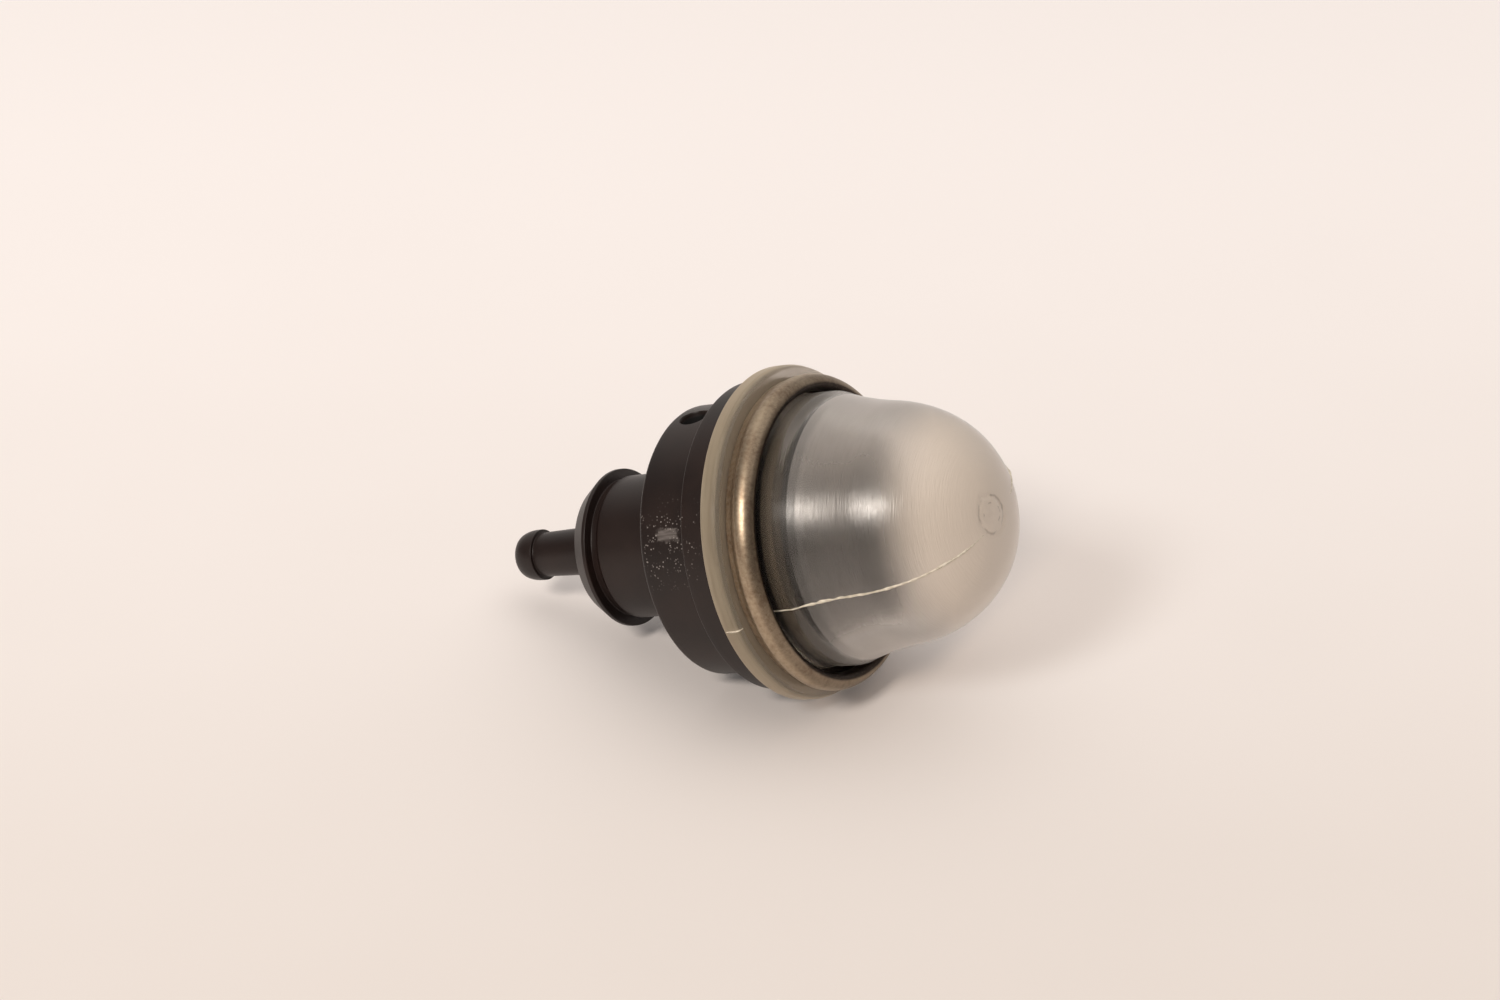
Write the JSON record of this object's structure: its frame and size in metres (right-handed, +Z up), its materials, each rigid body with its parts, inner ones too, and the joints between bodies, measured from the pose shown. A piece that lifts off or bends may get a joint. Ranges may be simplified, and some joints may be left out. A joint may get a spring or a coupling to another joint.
{
  "type": "primer bulb",
  "caption": "Push-in primer bulb: a translucent hand-squeezed dome held by a metal ring on a black flanged body with a snap neck, side port and hose barb.",
  "frame": {"origin": "bottom centre of the bounding box, on the surface that the part lies on", "axes": "+Z up from that surface, +X towards the dome's end; the part's own axis rises towards +X by 18.93 degrees, in the XZ plane"},
  "size_m": [0.0406, 0.0244, 0.0236],
  "materials": {
    "black_plastic": "satin moulded, dusty where handled",
    "black_rubber": "matt moulded",
    "clear_plastic": "translucent, olive where thick and milky towards the tip",
    "ring_metal": "aged nickel, brownish"
  },
  "bodies": {
    "root": {"pump_body": "black_plastic", "valve_plate": "black_plastic", "check_valve": "black_rubber", "bulb": "clear_plastic", "retaining_ring": "ring_metal"}
  },
  "joints": []
}
